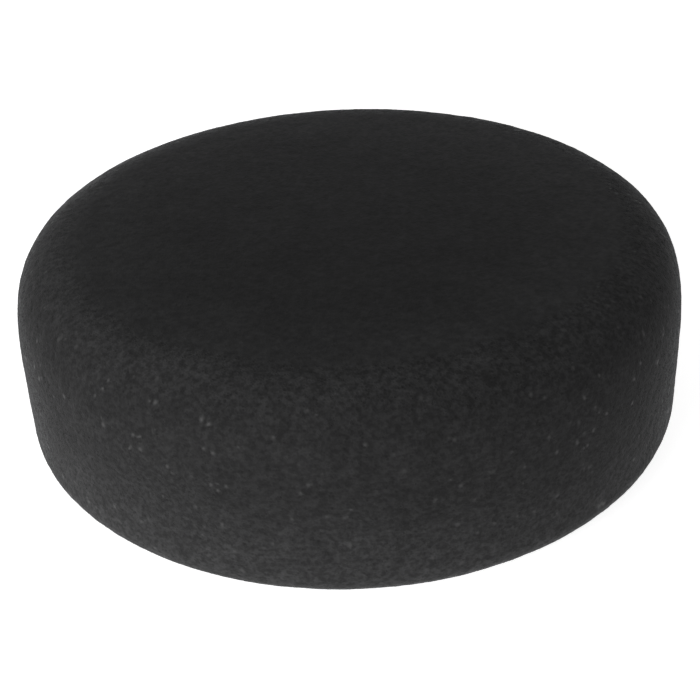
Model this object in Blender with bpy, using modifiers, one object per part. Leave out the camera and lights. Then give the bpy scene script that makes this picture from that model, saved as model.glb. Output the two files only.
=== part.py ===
"""Foam polishing pad with a hook-and-loop backing.

The pad lies on its loops with the working face up. The Z axis is the pad's own axis, the loops
rest on z = 0 and the working face is at z = PAD_HEIGHT. From the top down the pieces are the foam
disc, the hot-melt film that bonds it, and the knitted loop disc. Units are metres.
"""

import math

import bpy
from mathutils import Vector
from mathutils.geometry import interpolate_bezier

# Driving dimensions of the whole pad.
PAD_DIAMETER = 0.150
PAD_HEIGHT = 0.050

# Layers under the foam, and the gap that neighbouring pieces keep.
LOOP_THICKNESS = 0.0016
FILM_THICKNESS = 0.0003
LAYER_GAP = 0.0003

# The flat of the working face, and the shoulder that rounds down from it to the full diameter.
FACE_DIAMETER = 0.116
SHOULDER_DROP = 0.024
SHOULDER_RUN_OUT = 0.90  # share of the shoulder's width that the top handle reaches outwards
SHOULDER_RISE = 0.62  # share of the drop that the lower handle stands up the side

# The heel that rounds from the side to the underside.
HEEL_WIDTH = 0.009
HEEL_HEIGHT = 0.0075

# The backing is a little smaller than the foam's flat underside.
BACKING_DIAMETER = 0.128
FILM_DIAMETER = 0.127
LOOP_EDGE_ROUND = 0.0003

ROUND_STEPS = 96
SHOULDER_POINTS = 10
HEEL_POINTS = 6
EDGE_SEGMENTS = 2
MERGE_DISTANCE = 0.00001

FILM_BOTTOM = LOOP_THICKNESS + LAYER_GAP
FOAM_BOTTOM = FILM_BOTTOM + FILM_THICKNESS + LAYER_GAP

FOAM_BLACK = (0.020, 0.020, 0.021, 1.0)
FILM_GREY = (0.060, 0.058, 0.055, 1.0)
LOOP_BLACK = (0.030, 0.030, 0.032, 1.0)


def clear_scene():
    for obj in list(bpy.data.objects):
        bpy.data.objects.remove(obj, do_unlink=True)


def new_collection(name):
    collection = bpy.data.collections.new(name)
    bpy.context.scene.collection.children.link(collection)
    return collection


def principled(name, colour, roughness, metallic=0.0):
    material = bpy.data.materials.new(name)
    material.use_nodes = True
    shader = material.node_tree.nodes["Principled BSDF"]
    shader.inputs["Base Color"].default_value = colour
    shader.inputs["Roughness"].default_value = roughness
    shader.inputs["Metallic"].default_value = metallic
    material.diffuse_color = colour
    return material


def shoulder_curve():
    """Points from the edge of the working face down to the full diameter, on one Bezier curve."""
    full_radius = PAD_DIAMETER / 2
    face_radius = FACE_DIAMETER / 2
    shoulder_width = full_radius - face_radius
    side_top = PAD_HEIGHT - SHOULDER_DROP
    start = Vector((face_radius, 0, PAD_HEIGHT))
    top_handle = Vector((SHOULDER_RUN_OUT * shoulder_width, 0, 0))
    end = Vector((full_radius, 0, side_top))
    side_handle = Vector((0, 0, SHOULDER_RISE * SHOULDER_DROP))
    return interpolate_bezier(start, start + top_handle, end + side_handle, end, SHOULDER_POINTS)


def heel_curve():
    """Points from the side to the flat underside, on a quarter of an ellipse."""
    points = []
    for index in range(HEEL_POINTS + 1):
        turn = index / HEEL_POINTS * math.pi / 2
        radius = PAD_DIAMETER / 2 - HEEL_WIDTH + HEEL_WIDTH * math.cos(turn)
        height = FOAM_BOTTOM + HEEL_HEIGHT - HEEL_HEIGHT * math.sin(turn)
        points.append(Vector((radius, 0, height)))
    return points


def turned(name, profile, material, collection):
    """A solid of revolution about Z from a profile that runs down its outer side."""
    edges = [(index, index + 1) for index in range(len(profile) - 1)]
    mesh = bpy.data.meshes.new(name)
    mesh.from_pydata(profile, edges, [])
    mesh.materials.append(material)
    obj = bpy.data.objects.new(name, mesh)
    collection.objects.link(obj)
    screw = obj.modifiers.new("Turn", "SCREW")
    screw.axis = "Z"
    screw.steps = ROUND_STEPS
    screw.render_steps = ROUND_STEPS
    screw.use_merge_vertices = True
    screw.merge_threshold = MERGE_DISTANCE
    screw.use_smooth_shade = True
    obj.modifiers.new("Flat faces stay flat", "WEIGHTED_NORMAL")
    return obj


def disc(name, diameter, thickness, bottom, material, collection):
    """A flat round layer whose underside is at the height given."""
    bpy.ops.mesh.primitive_cylinder_add(
        vertices=ROUND_STEPS,
        radius=diameter / 2,
        depth=thickness,
        location=(0, 0, bottom + thickness / 2),
    )
    obj = bpy.context.object
    obj.name = name
    obj.data.name = name
    obj.data.materials.append(material)
    obj.data.shade_smooth()
    obj.data.set_sharp_from_angle(angle=math.radians(40))
    for holder in list(obj.users_collection):
        holder.objects.unlink(obj)
    collection.objects.link(obj)
    return obj


def foam_pad(collection):
    foam = principled("black open-cell foam", FOAM_BLACK, roughness=0.95)
    profile = [Vector((0, 0, PAD_HEIGHT))]
    profile += shoulder_curve()
    profile += heel_curve()
    profile.append(Vector((0, 0, FOAM_BOTTOM)))
    return turned("foam_pad", profile, foam, collection)


def adhesive_film(collection):
    hot_melt = principled("hot-melt film", FILM_GREY, roughness=0.45)
    return disc("adhesive_film", FILM_DIAMETER, FILM_THICKNESS, FILM_BOTTOM, hot_melt, collection)


def loop_backing(collection):
    loops = principled("black loop fabric", LOOP_BLACK, roughness=0.9)
    backing = disc("loop_backing", BACKING_DIAMETER, LOOP_THICKNESS, 0, loops, collection)
    bevel = backing.modifiers.new("Soft rim", "BEVEL")
    bevel.width = LOOP_EDGE_ROUND
    bevel.segments = EDGE_SEGMENTS
    bevel.limit_method = "ANGLE"
    return backing


def main():
    clear_scene()
    pad = new_collection("polishing_pad")
    foam_pad(pad)
    adhesive_film(pad)
    loop_backing(pad)


main()
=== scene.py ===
"""Looks of the foam polishing pad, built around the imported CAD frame. Units are metres."""

import math

import bpy
import numpy as np
from mathutils import Matrix, Vector, noise
from mathutils.geometry import delaunay_2d_cdt


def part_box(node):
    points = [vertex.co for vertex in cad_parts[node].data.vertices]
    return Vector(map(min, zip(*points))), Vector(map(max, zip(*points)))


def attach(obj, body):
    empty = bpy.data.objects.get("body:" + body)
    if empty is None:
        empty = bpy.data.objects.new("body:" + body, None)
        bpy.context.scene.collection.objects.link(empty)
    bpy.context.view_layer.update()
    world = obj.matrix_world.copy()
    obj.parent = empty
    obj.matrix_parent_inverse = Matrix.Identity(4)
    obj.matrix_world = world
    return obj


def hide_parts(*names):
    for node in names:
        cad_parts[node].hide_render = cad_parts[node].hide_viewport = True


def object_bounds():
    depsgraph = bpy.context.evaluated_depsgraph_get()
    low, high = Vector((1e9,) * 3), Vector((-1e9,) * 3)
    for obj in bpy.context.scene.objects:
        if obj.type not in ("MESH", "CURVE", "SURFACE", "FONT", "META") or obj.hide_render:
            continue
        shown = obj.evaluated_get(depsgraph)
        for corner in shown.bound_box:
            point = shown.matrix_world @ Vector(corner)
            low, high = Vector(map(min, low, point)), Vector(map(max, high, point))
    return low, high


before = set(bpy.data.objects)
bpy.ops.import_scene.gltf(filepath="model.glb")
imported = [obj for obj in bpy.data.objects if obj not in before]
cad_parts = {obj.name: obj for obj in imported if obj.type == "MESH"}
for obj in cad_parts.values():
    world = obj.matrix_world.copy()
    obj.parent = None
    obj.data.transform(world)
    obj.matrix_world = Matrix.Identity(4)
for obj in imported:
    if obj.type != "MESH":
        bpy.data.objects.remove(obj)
cad_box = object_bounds()

BODY = "root"
SEED = 7

# Camera: distance from the pad's centre, height angle, roll, lens, and the point it aims at.
CAMERA_DISTANCE = 0.3199
CAMERA_ELEVATION = math.radians(30.43)
CAMERA_ROLL = math.radians(2.53)
CAMERA_LENS = 70.54
CAMERA_AIM = Vector((-0.0003, 0.0, -0.0101))  # from the pad's centre

# Shoulder curve between the flat of the face and the full diameter, as shares of its width and drop.
SHOULDER_RUN_OUT = 0.90
SHOULDER_RISE = 0.62
SHOULDER_STEPS = 60
HEEL_STEPS = 30
SPREAD_STEPS = 4000  # along the whole outline, where it is spread on a plane

# Open cells of the foam. Their pits are shallow on the smooth face and deeper on the cut side.
PORE_PITCH = 0.00068
PORE_JITTER = 0.50  # share of the pitch that a cell's centre strays
RING_SPREAD = 0.12  # share by which the pitch varies from ring to ring
FACE_PORE_DEPTH = 0.00003
SIDE_PORE_DEPTH = 0.00006
DEPTH_SPREAD = 0.32  # of the logarithm of a pit's depth
STRUT_ROUGHNESS = 0.000012
COVERED_MARGIN = 0.0015  # how far the cells run in under the backing
COVERED_FADE = 0.002  # over which they flatten out there

# The smooth face gives way to the rougher cut side just past the flat, along a slightly uneven ring.
SIDE_START = 0.0015
SIDE_FULL = 0.0050
EDGE_DRIFT = 0.0012
EDGE_DRIFT_LENGTH = 0.008

# Brightness of the foam by place, painted light and shade: least on the side and less in the middle
# of the face, both painted shade, and most at the rim of the face and at the heel, painted highlights.
# Each change is spread over a range of distances past the rim of the flat.
MIDDLE_PAINTED_SHADE = 0.70
RIM_PAINTED_HIGHLIGHT = 1.16
SIDE_PAINTED_SHADE = 0.56
HEEL_PAINTED_HIGHLIGHT = 1.08
RIM_RANGE = (-0.026, 0.008)
SIDE_RANGE = (0.006, 0.018)
HEEL_RANGE = (0.030, 0.054)

# Waves left in the surface where the foam was cut: length, height on the face, height on the side.
# They run slightly longer round the pad than up it, as a blade leaves them.
CUT_WAVES = ((0.0140, 0.00008, 0.00010), (0.0034, 0.00003, 0.00006), (0.0014, 0.000018, 0.00006))
CUT_STRETCH = 1.15

# Cells that kept their thin skin catch the light, in drifts, and mostly on the cut side. Their pits
# are shallower and glossier, and their lighter grey is a painted glint.
SKIN_SHARE = 0.150
SKIN_FALLOFF = 3.5
SKIN_ON_FACE = 0.15
SKIN_DRIFT_LENGTH = 0.004

# The foam's greys, and how far its brightness strays: from cell to cell, and in three sizes of mottling.
STRUT_GREY = 0.0168
# The pits' darker grey is painted shade in the recesses.
PIT_PAINTED_SHADE_GREY = 0.0132
# A skin's lighter grey is a painted glint.
SKIN_PAINTED_GLINT_GREY = 0.026
BLUE_CAST = 1.02
CELL_CONTRAST = 0.07
CLOUD_SIZE, CLOUD_CONTRAST = 0.012, 0.09
PATCH_SIZE, PATCH_CONTRAST = 0.0024, 0.16
GRAIN_SIZE, GRAIN_ON_FACE, GRAIN_ON_SIDE = 0.0010, 0.18, 0.32
NOISE_ROUGHNESS = 0.55
FINE_CELL_SIZE = 0.00036
FINE_CELL_DEPTH = 0.0001
FOAM_SHEEN = 0.17
FOAM_SHEEN_ROUGHNESS = 0.25

# Knitted backing: a thin ground with small loops standing down from it.
GROUND_THICKNESS = 0.00038
GROUND_STEPS = 150
GROUND_WAVE = 0.00004
GROUND_WAVE_LENGTH = 0.004
KNIT_RIB_SCALE = 260.0
PILE_LOOPS = 5000
PILE_INSET = 0.0008
PILE_HEIGHT = (0.00080, 0.00112)
PILE_WIDTH = (0.0007, 0.0013)
PILE_LEAN = 0.00045
FIBRE_RADIUS = 0.00008
FIBRE_POINTS = 7

# Hot-melt glue between foam and backing, squeezed out a little at its edge.
GLUE_STEPS = 720
GLUE_CLEARANCE = 0.00003
GLUE_WANDER = ((0.0110, 0.00035), (0.0030, 0.00022), (0.0011, 0.00008))  # length, reach

# The floor is a light table: it glows a little, so that it stays white and lights the pad from below.
FLOOR_GLOW = 0.76
FLOOR_HALF_WIDTH = 3.0
LIGHT_AIM = Vector((0, 0, 0.02))

# Soft lamps: name, place, width, length, power in watts.
LAMPS = (
    ("front_left", (-0.7, -0.9, 0.35), 0.6, 0.4, 6.4),
    ("front", (0.1, -1.1, 0.25), 0.6, 0.3, 1.8),
    ("low_right", (0.9, -0.2, 0.12), 0.5, 0.10, 0.5),
    ("near_left", (-0.40, -0.30, 0.10), 0.3, 0.10, 1.45),
)

# The room: its glow fades from the walls to the ceiling between two heights, as sines of their angle.
WALL_TOP = 0.16
CEILING_START = 0.30
WALL_GLOW = 1.0
CEILING_GLOW = 0.30


# ---------------------------------------------------------------- outline of the foam, read from the CAD

def cad_profile(node):
    """Radius and height of every vertex of a turned CAD node, as two arrays."""
    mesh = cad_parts[node].data
    points = np.empty(len(mesh.vertices) * 3, np.float32)
    mesh.vertices.foreach_get("co", points)
    points = points.reshape(-1, 3).astype(float)
    return np.hypot(points[:, 0], points[:, 1]), points[:, 2]


def bezier(start, first, second, end, steps):
    """Points on a cubic Bezier curve, end point left out."""
    t = np.linspace(0, 1, steps, endpoint=False)[:, None]
    curve = (1 - t) ** 3 * start + 3 * (1 - t) ** 2 * t * first
    return curve + 3 * (1 - t) * t ** 2 * second + t ** 3 * end


def foam_outline():
    """The foam's outline from the middle of its face, down its side, to the middle of its underside."""
    radius, height = cad_profile("foam_pad")
    top, bottom, full = height.max(), height.min(), radius.max()
    near = 1e-5
    face_radius = radius[height > top - near].max()
    under_radius = radius[height < bottom + near].max()
    side_top = height[radius > full - near].max()
    side_bottom = height[radius > full - near].min()
    drop, width = top - side_top, full - face_radius
    corner = np.array([face_radius, top])
    shoulder_end = np.array([full, side_top])
    shoulder = bezier(
        corner,
        corner + np.array([SHOULDER_RUN_OUT * width, 0]),
        shoulder_end + np.array([0, SHOULDER_RISE * drop]),
        shoulder_end,
        SHOULDER_STEPS,
    )
    turn = np.linspace(0, math.pi / 2, HEEL_STEPS)
    heel = np.stack(
        [
            under_radius + (full - under_radius) * np.cos(turn),
            side_bottom - (side_bottom - bottom) * np.sin(turn),
        ],
        axis=1,
    )
    middle_top = np.array([[0.0, top]])
    middle_bottom = np.array([[0.0, bottom]])
    return np.concatenate([middle_top, shoulder, heel, middle_bottom])


class Outline:
    """A profile that is read by its arc length from the middle of the face."""

    def __init__(self, points):
        steps = np.hypot(*np.diff(points, axis=0).T)
        self.length = np.concatenate([[0], np.cumsum(steps)])
        self.radius = points[:, 0]
        self.height = points[:, 1]
        self.total = self.length[-1]

    def place(self, s):
        return np.interp(s, self.length, self.radius), np.interp(s, self.length, self.height)

    def normal(self, s, reach=0.0004):
        """The outward normal's radial and upward parts."""
        ahead = self.place(np.minimum(s + reach, self.total))
        behind = self.place(np.maximum(s - reach, 0))
        run, fall = ahead[0] - behind[0], ahead[1] - behind[1]
        size = np.hypot(run, fall)
        return -fall / size, run / size


# ---------------------------------------------------------------- the cells

def cell_centres(outline, end, rng):
    """Arc length and angle of every cell. The last ring is even, because the underside closes on it."""
    row = math.sqrt(3) / 2
    s, arcs, angles = row * PORE_PITCH, [np.zeros(1)], [np.zeros(1)]
    while s < end - PORE_PITCH:
        pitch = PORE_PITCH * rng.uniform(1 - RING_SPREAD, 1 + RING_SPREAD)
        radius = float(outline.place(s)[0])
        count = max(6, round(2 * math.pi * radius / pitch))
        stray = PORE_JITTER * PORE_PITCH
        turn = (np.arange(count) + rng.uniform()) / count * 2 * math.pi
        angles.append(turn + rng.uniform(-stray, stray, count) / radius)
        arcs.append(s + rng.uniform(-stray, stray, count))
        s += row * PORE_PITCH * rng.uniform(1 - RING_SPREAD, 1 + RING_SPREAD)
    count = round(2 * math.pi * float(outline.place(end)[0]) / PORE_PITCH)
    angles.append(np.arange(count) / count * 2 * math.pi)
    arcs.append(np.full(count, end))
    return np.abs(np.concatenate(arcs)), np.concatenate(angles), count


class Spread:
    """The surface spread on a plane so that small shapes keep their form, for the triangulation."""

    def __init__(self, outline):
        self.arc = np.linspace(0, outline.total, SPREAD_STEPS)
        radius = np.maximum(outline.place(self.arc)[0], 1e-6)
        flat = outline.length[1]
        growth = np.where(self.arc > flat, 1 / radius, 0)
        steps = (growth[1:] + growth[:-1]) / 2 * np.diff(self.arc)
        spread = np.concatenate([[0], np.cumsum(steps)])
        self.reach = np.where(self.arc < flat, self.arc, flat * np.exp(spread))

    def to_plane(self, arc, angle):
        reach = np.interp(arc, self.arc, self.reach)
        return np.stack([reach * np.cos(angle), reach * np.sin(angle)], axis=1)

    def from_plane(self, plane):
        return np.interp(np.hypot(*plane.T), self.reach, self.arc), np.arctan2(plane[:, 1], plane[:, 0])


def evened(plane, triangles, fixed):
    """Each cell moved to the middle of the triangles around it, which takes out slivers."""
    middle = plane[triangles].mean(axis=1)
    total = np.zeros_like(plane)
    count = np.zeros(len(plane))
    for corner in range(3):
        np.add.at(total, triangles[:, corner], middle)
        np.add.at(count, triangles[:, corner], 1)
    moved = total / count[:, None]
    moved[fixed] = plane[fixed]
    return moved


def neighbours(plane):
    """Triangles that join neighbouring cells, all turning the same way."""
    found = delaunay_2d_cdt([Vector(p) for p in plane], [], [], 0, 0.0, False)
    if len(found[0]) != len(plane):
        raise ValueError("two cells fall on one point")
    triangles = np.array(found[2])
    a, b, c = (plane[triangles[:, i]] for i in range(3))
    turning = (b[:, 0] - a[:, 0]) * (c[:, 1] - a[:, 1]) - (b[:, 1] - a[:, 1]) * (c[:, 0] - a[:, 0])
    triangles[turning < 0] = triangles[turning < 0][:, ::-1]
    return triangles


def fans(triangles, cell_count):
    """Faces of the cell mesh: for each pair of neighbouring cells, one face in each cell that touches
    their shared strut. Cell centres keep their index, and the junction in triangle t is cell_count + t."""
    ends = np.concatenate([triangles[:, [0, 1]], triangles[:, [1, 2]], triangles[:, [2, 0]]])
    owner = np.tile(np.arange(len(triangles)), 3)
    forward = ends[:, 0] < ends[:, 1]
    low, high = np.minimum(*ends.T), np.maximum(*ends.T)
    order = np.lexsort((~forward, high, low))
    first, second = order[0::2], order[1::2]
    paired = (low[first] == low[second]) & (high[first] == high[second]) & forward[first] & ~forward[second]
    if not paired.all():
        raise ValueError("the cells don't close into one surface")
    a, b = low[first], high[first]
    left, right = cell_count + owner[first], cell_count + owner[second]
    return np.concatenate([np.stack([a, right, left], axis=1), np.stack([b, left, right], axis=1)])


# ---------------------------------------------------------------- small helpers

def mesh_object(name, points, faces):
    mesh = bpy.data.meshes.new(name)
    mesh.vertices.add(len(points))
    mesh.vertices.foreach_set("co", points.astype(np.float32).ravel())
    mesh.loops.add(faces.size)
    mesh.loops.foreach_set("vertex_index", faces.astype(np.int32).ravel())
    mesh.polygons.add(len(faces))
    mesh.polygons.foreach_set("loop_start", np.arange(0, faces.size, faces.shape[1], dtype=np.int32))
    mesh.update(calc_edges=True)
    mesh.validate()
    mesh.shade_smooth()
    obj = bpy.data.objects.new(name, mesh)
    bpy.context.scene.collection.objects.link(obj)
    return obj


def soft_noise(points, size, seed):
    """Smooth noise from -1 to 1 over points, with features of about the size given."""
    offset = Vector((seed * 3.7, seed * 1.3, seed * 2.1))
    return np.array([noise.noise(Vector(p) / size + offset) for p in points])


def write_attribute(obj, name, values):
    attribute = obj.data.attributes.new(name, "FLOAT", "POINT")
    attribute.data.foreach_set("value", values.astype(np.float32))


def smooth_step(value, low, high):
    t = np.clip((value - low) / (high - low), 0, 1)
    return t * t * (3 - 2 * t)


# ---------------------------------------------------------------- the foam

def cut_waves(points, on_side):
    """How far the cut surface rises at each point."""
    rise = np.zeros(len(points))
    for length, on_face, across in CUT_WAVES:
        spot = points * np.array([1, 1, CUT_STRETCH]) / length
        wave = soft_noise(spot, 1.0, 1)
        rise += wave * (on_face + (across - on_face) * on_side)
    return rise


def build_foam():
    """The foam disc, with a pit for every open cell and a sharp strut between neighbours."""
    rng = np.random.default_rng(SEED)
    outline = Outline(foam_outline())
    face_radius = outline.length[1]
    backing_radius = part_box("loop_backing")[1].x
    cells_end = outline.total - backing_radius + COVERED_MARGIN
    arc, angle, last_ring = cell_centres(outline, cells_end, rng)
    spread = Spread(outline)
    plane = spread.to_plane(arc, angle)
    plane = evened(plane, neighbours(plane), np.arange(len(arc) - last_ring, len(arc)))
    triangles = neighbours(plane)
    arc, angle = spread.from_plane(plane)

    # One more cell in the middle of the underside closes the surface, behind the backing.
    ring = np.arange(len(arc) - last_ring, len(arc))
    closing = np.stack([ring, np.full(last_ring, len(arc)), np.roll(ring, -1)], axis=1)
    triangles = np.concatenate([triangles, closing])
    arc, angle = np.append(arc, outline.total), np.append(angle, 0.0)

    radius, height = outline.place(arc)
    out, up = outline.normal(arc)
    base = np.stack([radius * np.cos(angle), radius * np.sin(angle), height], axis=1)
    normal = np.stack([out * np.cos(angle), out * np.sin(angle), up], axis=1)

    drift = EDGE_DRIFT * soft_noise(base, EDGE_DRIFT_LENGTH, 2)
    on_side = smooth_step(arc + drift, face_radius + SIDE_START, face_radius + SIDE_FULL)
    in_sight = smooth_step(cells_end - arc, 0.0, COVERED_FADE)
    base = base + normal * (cut_waves(base, on_side) * in_sight)[:, None]
    drifts = smooth_step(soft_noise(base * np.array([1, 1, CUT_STRETCH]), SKIN_DRIFT_LENGTH, 3), -0.1, 0.5)
    # Skin: a shallower, glossier cell with a lighter grey, which is a painted glint.
    skin_and_painted_glint = rng.uniform(size=len(arc)) ** SKIN_FALLOFF * (rng.uniform(size=len(arc)) < SKIN_SHARE * drifts)
    skin_and_painted_glint *= SKIN_ON_FACE + (1 - SKIN_ON_FACE) * on_side
    depth = FACE_PORE_DEPTH + (SIDE_PORE_DEPTH - FACE_PORE_DEPTH) * on_side
    depth = depth * rng.lognormal(0, DEPTH_SPREAD, len(arc)) * in_sight * (1 - skin_and_painted_glint)

    junction = base[triangles].mean(axis=1)
    junction_normal = normal[triangles].mean(axis=1)
    junction_normal /= np.linalg.norm(junction_normal, axis=1, keepdims=True)
    rise = rng.normal(0, STRUT_ROUGHNESS, len(junction)) * in_sight[triangles].min(axis=1)
    junction = junction + junction_normal * rise[:, None]
    pit = base - normal * depth[:, None]

    obj = mesh_object("foam_body", np.concatenate([pit, junction]), fans(triangles, len(pit)))
    sharpen_struts(obj.data, len(pit))
    own_shade = rng.uniform(size=len(pit))
    # Painted light and shade along the outline: darker in the middle of the face and on the side, lighter at
    # the rim and the heel.
    painted_light_level = np.full(len(arc), MIDDLE_PAINTED_SHADE)
    for shade, reach in ((RIM_PAINTED_HIGHLIGHT, RIM_RANGE), (SIDE_PAINTED_SHADE, SIDE_RANGE), (HEEL_PAINTED_HIGHLIGHT, HEEL_RANGE)):
        painted_light_level += (shade - painted_light_level) * smooth_step(arc + drift - face_radius, *reach)
    layers = {
        "cell_depth": (depth / SIDE_PORE_DEPTH, 0.0),
        "cell_shade": (own_shade, own_shade[triangles].mean(axis=1)),
        "side_share": (on_side, on_side[triangles].mean(axis=1)),
        "painted_light_level": (painted_light_level, painted_light_level[triangles].mean(axis=1)),
        "skin_and_painted_glint": (skin_and_painted_glint, skin_and_painted_glint[triangles].mean(axis=1)),
    }
    for name, (at_pits, at_junctions) in layers.items():
        values = np.broadcast_to(at_pits, len(pit)), np.broadcast_to(at_junctions, len(junction))
        write_attribute(obj, name, np.concatenate(values))
    return obj


def sharpen_struts(mesh, cell_count):
    ends = np.empty(len(mesh.edges) * 2, np.int32)
    mesh.edges.foreach_get("vertices", ends)
    sharp = (ends.reshape(-1, 2) >= cell_count).all(axis=1)
    mesh.attributes.new("sharp_edge", "BOOLEAN", "EDGE").data.foreach_set("value", sharp)


# ---------------------------------------------------------------- the backing and its glue

def ring_faces(rings):
    """Triangles that join closed rings of points, each ring given as a run of indices."""
    faces = []
    for near, far in zip(rings[:-1], rings[1:]):
        near_next, far_next = np.roll(near, -1), np.roll(far, -1)
        faces.append(np.stack([near, near_next, far], axis=1))
        faces.append(np.stack([near_next, far_next, far], axis=1))
    return faces


def build_glue():
    """A thin disc of glue whose edge wanders and bulges out between foam and backing."""
    low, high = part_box("loop_backing")[1].z + GLUE_CLEARANCE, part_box("foam_pad")[0].z - GLUE_CLEARANCE
    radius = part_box("adhesive_film")[1].x
    turn = np.linspace(0, 2 * math.pi, GLUE_STEPS, endpoint=False)
    way = np.stack([np.cos(turn), np.sin(turn), np.zeros(GLUE_STEPS)], axis=1)
    reach = np.full(GLUE_STEPS, radius)
    for index, (length, size) in enumerate(GLUE_WANDER):
        reach += size * soft_noise(way * radius, length, index)
    half, middle = (high - low) / 2, (high + low) / 2
    bulge = np.linspace(-math.pi / 2, math.pi / 2, 9)
    profile = [(0.5, low)] + [(1.0, middle + half * math.sin(b)) for b in bulge] + [(0.5, high)]
    inset = [0.0] + [half * (1 - math.cos(b)) for b in bulge] + [0.0]
    rings = [
        way * ((reach - step) * share)[:, None] + np.array([0, 0, z])
        for (share, z), step in zip(profile, inset)
    ]
    points = np.concatenate(rings + [np.array([[0, 0, low], [0, 0, high]])])
    runs = [np.arange(GLUE_STEPS) + GLUE_STEPS * ring for ring in range(len(rings))]
    faces = ring_faces(runs)
    bottom, top = len(points) - 2, len(points) - 1
    first, last = runs[0], runs[-1]
    faces.append(np.stack([np.full(GLUE_STEPS, bottom), np.roll(first, -1), first], axis=1))
    faces.append(np.stack([np.full(GLUE_STEPS, top), last, np.roll(last, -1)], axis=1))
    return mesh_object("hot_melt_glue", points, np.concatenate(faces))


def build_ground():
    """The backing's knitted ground: a thin disc, a little wavy below, from a square grid bent round."""
    top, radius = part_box("loop_backing")[1].z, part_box("loop_backing")[1].x
    step = np.linspace(-1, 1, GROUND_STEPS)
    u, v = np.meshgrid(step, step, indexing="ij")
    flat = np.stack([u * np.sqrt(1 - v ** 2 / 2), v * np.sqrt(1 - u ** 2 / 2)], axis=2).reshape(-1, 2)
    flat = flat * radius
    level = np.full(len(flat), top)
    upper = np.concatenate([flat, level[:, None]], axis=1)
    wave = GROUND_WAVE * soft_noise(upper, GROUND_WAVE_LENGTH, 5)
    lower = np.concatenate([flat, (level - GROUND_THICKNESS + wave)[:, None]], axis=1)
    index = np.arange(len(flat)).reshape(GROUND_STEPS, GROUND_STEPS)
    quads = np.stack([index[:-1, :-1], index[1:, :-1], index[1:, 1:], index[:-1, 1:]], axis=2).reshape(-1, 4)
    rim = np.concatenate([index[:-1, 0], index[-1, :-1], index[:0:-1, -1], index[0, :0:-1]])
    ahead, under = np.roll(rim, -1), len(flat)
    edge = np.stack([rim, rim + under, ahead + under, ahead], axis=1)
    faces = np.concatenate([quads, quads[:, ::-1] + under, edge])
    return mesh_object("loop_ground", np.concatenate([upper, lower]), faces)


def build_pile():
    """Small loops of fibre that stand down from the ground, each a three-sided tube."""
    rng = np.random.default_rng(SEED + 1)
    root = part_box("loop_backing")[1].z - GROUND_THICKNESS + GROUND_WAVE
    count = np.arange(PILE_LOOPS) + 0.5
    radius = (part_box("loop_backing")[1].x - PILE_INSET) * np.sqrt(count / PILE_LOOPS)
    turn = count * math.pi * (3 - math.sqrt(5))
    centre = np.stack([radius * np.cos(turn), radius * np.sin(turn), np.full(PILE_LOOPS, root)], axis=1)
    facing = rng.uniform(0, 2 * math.pi, PILE_LOOPS)
    across = np.stack([np.cos(facing), np.sin(facing), np.zeros(PILE_LOOPS)], axis=1)
    width = rng.uniform(*PILE_WIDTH, PILE_LOOPS)
    height = rng.uniform(*PILE_HEIGHT, PILE_LOOPS)
    lean = rng.normal(0, PILE_LEAN, (PILE_LOOPS, 3)) * np.array([1, 1, 0])

    t = np.linspace(0, 1, FIBRE_POINTS)
    arch = np.sin(math.pi * t) ** 0.8
    path = centre[:, None] + across[:, None] * (width[:, None] * (t - 0.5))[:, :, None]
    path = path + lean[:, None] * arch[None, :, None]
    path[:, :, 2] -= height[:, None] * arch

    along = np.gradient(path, axis=1)
    along /= np.linalg.norm(along, axis=2, keepdims=True)
    sideways = np.cross(across, [0, 0, 1])[:, None]
    sideways = sideways - along * (along * sideways).sum(axis=2, keepdims=True)
    sideways /= np.linalg.norm(sideways, axis=2, keepdims=True)
    outward = np.cross(along, sideways)
    corners = [
        path + FIBRE_RADIUS * (math.cos(a) * sideways + math.sin(a) * outward)
        for a in (0, 2 * math.pi / 3, 4 * math.pi / 3)
    ]
    points = np.stack(corners, axis=2).reshape(-1, 3)

    ring = np.arange(FIBRE_POINTS * 3).reshape(FIBRE_POINTS, 3)
    faces = np.concatenate(ring_faces(list(ring)) + [ring[:1, ::-1], ring[-1:]])
    loops = np.arange(PILE_LOOPS)[:, None, None] * (FIBRE_POINTS * 3)
    return mesh_object("loop_pile", points, (faces[None] + loops).reshape(-1, 3))


# ---------------------------------------------------------------- materials

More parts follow.
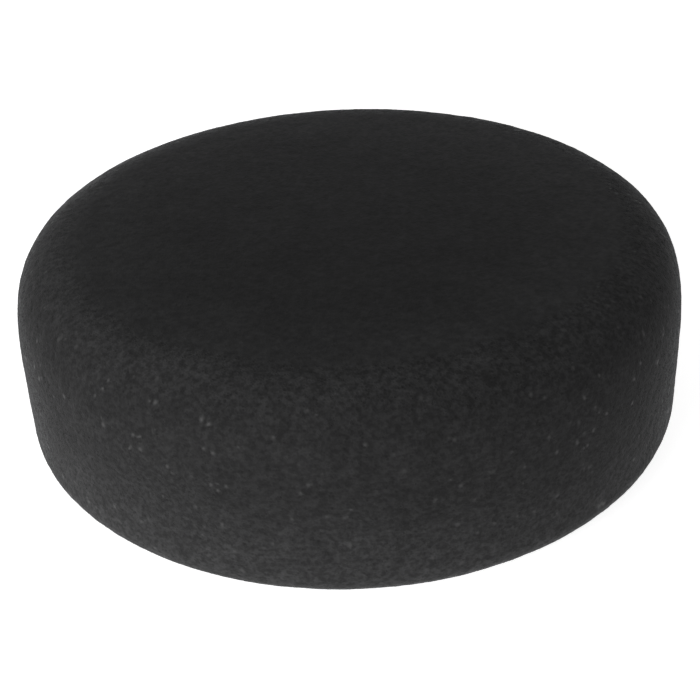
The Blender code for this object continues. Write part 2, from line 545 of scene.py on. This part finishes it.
class Tree:
    """Short calls for building a material's nodes."""

    def __init__(self, name):
        self.material = bpy.data.materials.new(name)
        self.material.use_nodes = True
        self.nodes = self.material.node_tree.nodes
        self.links = self.material.node_tree.links
        self.shader = self.nodes["Principled BSDF"]

    def add(self, kind, **settings):
        node = self.nodes.new(kind)
        for key, value in settings.items():
            setattr(node, key, value)
        return node

    def feed(self, socket, value):
        if isinstance(value, bpy.types.NodeSocket):
            self.links.new(value, socket)
        else:
            socket.default_value = value

    def coordinates(self):
        return self.add("ShaderNodeTexCoord").outputs["Object"]

    def attribute(self, name):
        return self.add("ShaderNodeAttribute", attribute_name=name).outputs["Fac"]

    def math(self, operation, a, b):
        node = self.add("ShaderNodeMath", operation=operation)
        self.feed(node.inputs[0], a)
        self.feed(node.inputs[1], b)
        return node.outputs[0]

    def remap(self, value, low, high, to_low=0.0, to_high=1.0):
        node = self.add("ShaderNodeMapRange", interpolation_type="SMOOTHSTEP")
        for index, item in enumerate((value, low, high, to_low, to_high)):
            self.feed(node.inputs[index], item)
        return node.outputs[0]

    def noise(self, vector, size, detail=3.0):
        node = self.add("ShaderNodeTexNoise")
        self.feed(node.inputs["Vector"], vector)
        node.inputs["Scale"].default_value = 1 / size
        node.inputs["Detail"].default_value = detail
        node.inputs["Roughness"].default_value = NOISE_ROUGHNESS
        return node.outputs["Fac"]

    def cells(self, vector, size, feature="F1"):
        node = self.add("ShaderNodeTexVoronoi", feature=feature)
        self.feed(node.inputs["Vector"], vector)
        node.inputs["Scale"].default_value = 1 / size
        return node.outputs["Distance"]

    def mix(self, factor, a, b, blend="MIX"):
        node = self.add("ShaderNodeMix", data_type="RGBA", blend_type=blend)
        self.feed(node.inputs[0], factor)
        self.feed(node.inputs[6], a)
        self.feed(node.inputs[7], b)
        return node.outputs[2]

    def bump(self, height, strength, distance):
        node = self.add("ShaderNodeBump")
        node.inputs["Strength"].default_value = strength
        node.inputs["Distance"].default_value = distance
        self.feed(node.inputs["Height"], height)
        return node.outputs[0]

    def grey_of(self, value):
        node = self.add("ShaderNodeCombineColor")
        for channel in range(3):
            self.feed(node.inputs[channel], value)
        return node.outputs[0]

    def mottling(self, vector, size, contrast, detail, low, high):
        return self.remap(self.noise(vector, size, detail), low, high, 1 - contrast, 1 + contrast)


def grey(level, blue=1.0):
    return (level, level, level * blue, 1.0)


def foam_material():
    t = Tree("black_open_cell_foam")
    where = t.coordinates()
    side = t.attribute("side_share")
    pit_painted_shade = t.remap(t.attribute("cell_depth"), 0.0, 1.6)
    skin_and_painted_glint = t.attribute("skin_and_painted_glint")

    # Pits darker than the struts between them, a painted shade, mottled in three sizes, and lighter
    # again where a skin is left, a painted glint.
    stretched = t.add("ShaderNodeMapping")
    t.feed(stretched.inputs["Vector"], where)
    stretched.inputs["Scale"].default_value = (1, 1, CUT_STRETCH)
    spot = stretched.outputs[0]
    patches = t.mottling(spot, PATCH_SIZE, PATCH_CONTRAST, 1.0, 0.25, 0.75)
    clouds = t.mottling(where, CLOUD_SIZE, CLOUD_CONTRAST, 2.0, 0.3, 0.7)
    darkest = t.remap(side, 0.0, 1.0, 1 - GRAIN_ON_FACE, 1 - GRAIN_ON_SIDE)
    lightest = t.remap(side, 0.0, 1.0, 1 + GRAIN_ON_FACE, 1 + GRAIN_ON_SIDE)
    grain = t.remap(t.noise(spot, GRAIN_SIZE, detail=1.0), 0.3, 0.7, darkest, lightest)
    own = t.remap(t.attribute("cell_shade"), 0.0, 1.0, 1 - CELL_CONTRAST, 1 + CELL_CONTRAST)
    # The painted light and shade along the outline, times the random mottling of the foam.
    shade = t.attribute("painted_light_level")
    for part in (clouds, patches, grain, own):
        shade = t.math("MULTIPLY", shade, part)
    # Darker the deeper the pit: painted shade.
    colour = t.mix(pit_painted_shade, grey(STRUT_GREY, BLUE_CAST), grey(PIT_PAINTED_SHADE_GREY, BLUE_CAST))
    colour = t.mix(1.0, colour, t.grey_of(shade), blend="MULTIPLY")
    # A painted glint: lighter grey where a skin is left.
    t.feed(t.shader.inputs["Base Color"], t.mix(skin_and_painted_glint, colour, grey(SKIN_PAINTED_GLINT_GREY)))
    t.feed(t.shader.inputs["Roughness"], t.remap(skin_and_painted_glint, 0.0, 0.6, 0.95, 0.6))
    t.shader.inputs["Specular IOR Level"].default_value = 0.2
    t.shader.inputs["Sheen Weight"].default_value = FOAM_SHEEN
    t.shader.inputs["Sheen Roughness"].default_value = FOAM_SHEEN_ROUGHNESS
    t.shader.inputs["Sheen Tint"].default_value = (0.96, 0.97, 1.0, 1.0)

    fine = t.cells(where, FINE_CELL_SIZE, feature="DISTANCE_TO_EDGE")
    depth = t.math("MULTIPLY", fine, t.remap(side, 0.0, 1.0, 0.35, 0.6))
    t.feed(t.shader.inputs["Normal"], t.bump(depth, 0.2, FINE_CELL_DEPTH))
    return t.material


def glue_material():
    t = Tree("dark_hot_melt_glue")
    where = t.coordinates()
    cloud = t.remap(t.noise(where, 0.004), 0.3, 0.7)
    t.feed(t.shader.inputs["Base Color"], t.mix(cloud, grey(0.022), grey(0.045)))
    t.feed(t.shader.inputs["Roughness"], t.remap(t.noise(where, 0.0012), 0.3, 0.7, 0.28, 0.55))
    bubbles = t.cells(where, 0.0009)
    t.feed(t.shader.inputs["Normal"], t.bump(t.remap(bubbles, 0.1, 0.4), 0.3, 0.00006))
    return t.material


def fibre_material(name, ribs=False):
    t = Tree(name)
    where = t.coordinates()
    tone = t.remap(t.noise(where, 0.0016), 0.3, 0.7)
    t.feed(t.shader.inputs["Base Color"], t.mix(tone, grey(0.012, 1.03), grey(0.030, 1.03)))
    t.feed(t.shader.inputs["Roughness"], t.remap(tone, 0, 1, 0.5, 0.75))
    t.shader.inputs["Sheen Weight"].default_value = 0.3
    t.shader.inputs["Sheen Roughness"].default_value = 0.35
    strands = t.noise(where, 0.00012, detail=2.0)
    if ribs:
        knit = t.add("ShaderNodeTexWave", wave_type="BANDS", bands_direction="X")
        t.feed(knit.inputs["Vector"], where)
        knit.inputs["Scale"].default_value = KNIT_RIB_SCALE
        knit.inputs["Distortion"].default_value = 2.0
        strands = t.math("ADD", strands, knit.outputs["Fac"])
    t.feed(t.shader.inputs["Normal"], t.bump(strands, 0.5, 0.0001))
    return t.material


def floor_material():
    t = Tree("studio_floor")
    t.shader.inputs["Base Color"].default_value = grey(0.86)
    t.shader.inputs["Roughness"].default_value = 0.9
    t.shader.inputs["Specular IOR Level"].default_value = 0.0
    t.shader.inputs["Emission Color"].default_value = grey(1.0)
    t.shader.inputs["Emission Strength"].default_value = FLOOR_GLOW
    return t.material


# ---------------------------------------------------------------- studio

def build_floor(level):
    size = FLOOR_HALF_WIDTH
    corners = [(-size, -size, level), (size, -size, level), (size, size, level), (-size, size, level)]
    floor = mesh_object("studio_floor", np.array(corners), np.array([[0, 1, 2, 3]]))
    floor.data.materials.append(floor_material())


def soft_light(name, position, width, length, watts):
    data = bpy.data.lights.new(name, "AREA")
    data.shape = "RECTANGLE"
    data.size = width
    data.size_y = length
    data.energy = watts
    obj = bpy.data.objects.new(name, data)
    bpy.context.scene.collection.objects.link(obj)
    obj.location = position
    obj.visible_camera = False
    obj.rotation_mode = "QUATERNION"
    obj.rotation_quaternion = (LIGHT_AIM - Vector(position)).to_track_quat("-Z", "Y")


def build_world():
    """A room with white walls near the horizon and a dark ceiling."""
    world = bpy.data.worlds.new("soft_room")
    world.use_nodes = True
    nodes, links = world.node_tree.nodes, world.node_tree.links
    direction = nodes.new("ShaderNodeTexCoord")
    height = nodes.new("ShaderNodeSeparateXYZ")
    fade = nodes.new("ShaderNodeMapRange")
    fade.interpolation_type = "SMOOTHSTEP"
    for index, value in enumerate((WALL_TOP, CEILING_START, WALL_GLOW, CEILING_GLOW), start=1):
        fade.inputs[index].default_value = value
    links.new(direction.outputs["Generated"], height.inputs[0])
    links.new(height.outputs["Z"], fade.inputs[0])
    links.new(fade.outputs[0], nodes["Background"].inputs["Strength"])
    nodes["Background"].inputs["Color"].default_value = (1, 1, 1, 1)
    bpy.context.scene.world = world


def build_camera(centre):
    back = Vector((0, -math.cos(CAMERA_ELEVATION), math.sin(CAMERA_ELEVATION)))
    place = centre + back * CAMERA_DISTANCE
    data = bpy.data.cameras.new("camera")
    data.lens = CAMERA_LENS
    data.clip_start = 0.01
    camera = bpy.data.objects.new("camera", data)
    bpy.context.scene.collection.objects.link(camera)
    away = (place - (centre + CAMERA_AIM)).normalized()
    right = Vector((0, 0, 1)).cross(away).normalized()
    above = away.cross(right)
    level = Matrix((right, above, away)).transposed()
    camera.matrix_world = Matrix.Translation(place) @ (level @ Matrix.Rotation(-CAMERA_ROLL, 3, "Z")).to_4x4()
    bpy.context.scene.camera = camera


def main():
    build_camera((cad_box[0] + cad_box[1]) / 2)

    foam = build_foam()
    foam.data.materials.append(foam_material())
    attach(foam, BODY)
    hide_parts("foam_pad")

    glue = build_glue()
    glue.data.materials.append(glue_material())
    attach(glue, BODY)
    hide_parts("adhesive_film")

    pile = build_pile()
    pile.data.materials.append(fibre_material("nylon_pile"))
    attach(pile, BODY)

    ground = build_ground()
    ground.data.materials.append(fibre_material("knitted_ground", ribs=True))
    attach(ground, BODY)
    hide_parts("loop_backing")

    build_floor(cad_box[0].z)
    build_world()
    for lamp in LAMPS:
        soft_light(*lamp)
    bpy.context.scene.view_settings.view_transform = "Standard"


main()
